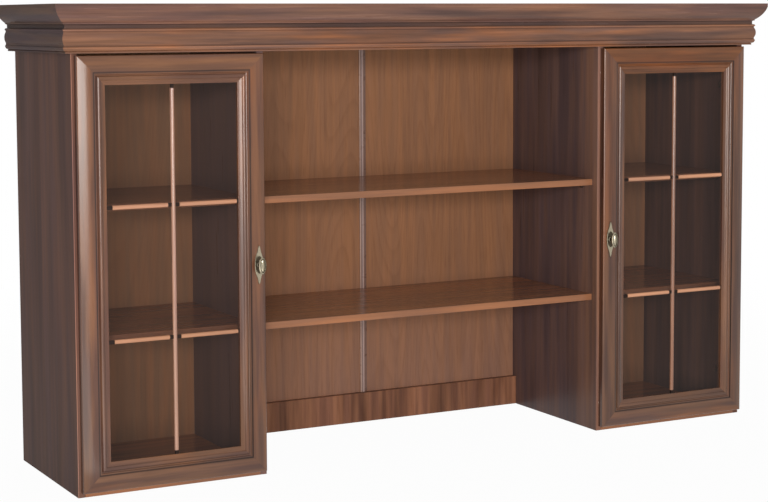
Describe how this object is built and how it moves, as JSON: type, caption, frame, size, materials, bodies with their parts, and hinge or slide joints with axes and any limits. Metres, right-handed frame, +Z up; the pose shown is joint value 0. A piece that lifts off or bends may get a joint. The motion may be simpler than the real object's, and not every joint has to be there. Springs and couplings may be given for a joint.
{
  "type": "display hutch for a sideboard",
  "caption": "Wide display hutch with a glazed, barred door on each tower, an open shelved bay between them, moulded cornice, oval knobs and concealed hinges.",
  "frame": {"origin": "middle of the outline at the underside", "axes": "+Z up, +X to the right as seen from the front, the front faces -Y"},
  "size_m": [1.902, 0.446, 1.073],
  "materials": {
    "upright_board": "satin foil, walnut grain",
    "level_board": "satin foil, walnut grain",
    "back_board": "matt printed hardboard, walnut grain",
    "batten": "bare board",
    "moulding_front": "satin foil, walnut grain",
    "moulding_side": "satin foil, walnut grain",
    "stile": "satin foil, walnut grain",
    "rail": "satin foil, walnut grain",
    "glass_strip": "satin foil, walnut grain",
    "bar_upright": "satin foil, walnut grain",
    "bar_cross": "satin foil, walnut grain",
    "joiner": "moulded, satin",
    "clip": "moulded, satin",
    "bumper": "clear soft plastic",
    "glass": "polished float glass",
    "old_silver": "antique silver, worn highs and dark recesses",
    "steel": "nickel plated"
  },
  "bodies": {
    "carcass": {"back_joiner_strip": "joiner", "back_rail": "upright_board", "centre_back_left": "back_board", "centre_back_right": "back_board", "centre_shelf_lower": "level_board", "centre_shelf_upper": "level_board", "cornice_battens": "batten", "crown_front": "moulding_front", "crown_left": "moulding_side", "crown_right": "moulding_side", "door_bumpers": "bumper", "frieze_front": "moulding_front", "frieze_left": "moulding_side", "frieze_right": "moulding_side", "hinge_arms": "steel", "hinge_mounts": "steel", "left_back_panel": "back_board", "left_bottom_panel": "level_board", "left_inner_side": "upright_board", "left_outer_side": "upright_board", "left_shelf_lower": "level_board", "left_shelf_upper": "level_board", "right_back_panel": "back_board", "right_bottom_panel": "level_board", "right_inner_side": "upright_board", "right_outer_side": "upright_board", "right_shelf_lower": "level_board", "right_shelf_upper": "level_board", "shelf_pins": "steel", "top_panel": "level_board"},
    "left_door": {"left_door_bar_clips": "clip", "left_door_bottom_rail": "rail", "left_door_cross_bars": "bar_cross", "left_door_glass": "glass", "left_door_glass_strips": "glass_strip", "left_door_hinge_stile": "stile", "left_door_knob_stile": "stile", "left_door_top_rail": "rail", "left_door_upright_bar": "bar_upright", "left_hinge_cups": "steel", "left_knob": "old_silver", "left_knob_plate": "old_silver", "left_knob_screw": "steel"},
    "right_door": {"right_door_bar_clips": "clip", "right_door_bottom_rail": "rail", "right_door_cross_bars": "bar_cross", "right_door_glass": "glass", "right_door_glass_strips": "glass_strip", "right_door_hinge_stile": "stile", "right_door_knob_stile": "stile", "right_door_top_rail": "rail", "right_door_upright_bar": "bar_upright", "right_hinge_cups": "steel", "right_knob": "old_silver", "right_knob_plate": "old_silver", "right_knob_screw": "steel"},
    "left_links": {"left_hinge_links": "steel"},
    "right_links": {"right_hinge_links": "steel"}
  },
  "joints": [
    {"name": "left_door_hinge", "type": "hinge", "parent": "carcass", "child": "left_door", "pos_m": [-0.8985, -0.179, 0.487], "axis": [0, 0, 1], "range_deg": [-100, 0]},
    {"name": "right_door_hinge", "type": "hinge", "parent": "carcass", "child": "right_door", "pos_m": [0.8985, -0.179, 0.487], "axis": [0, 0, 1], "range_deg": [0, 100]},
    {"name": "left_link_pivot", "type": "hinge", "parent": "carcass", "child": "left_links", "pos_m": [-0.885, -0.18, 0.487], "axis": [0, 0, 1], "range_deg": [-134, 0]},
    {"name": "right_link_pivot", "type": "hinge", "parent": "carcass", "child": "right_links", "pos_m": [0.885, -0.18, 0.487], "axis": [0, 0, 1], "range_deg": [0, 134]}
  ],
  "couplings": [
    {"joint": "left_link_pivot", "follows": "left_door_hinge", "ratio": 1.34},
    {"joint": "right_link_pivot", "follows": "right_door_hinge", "ratio": 1.34}
  ]
}
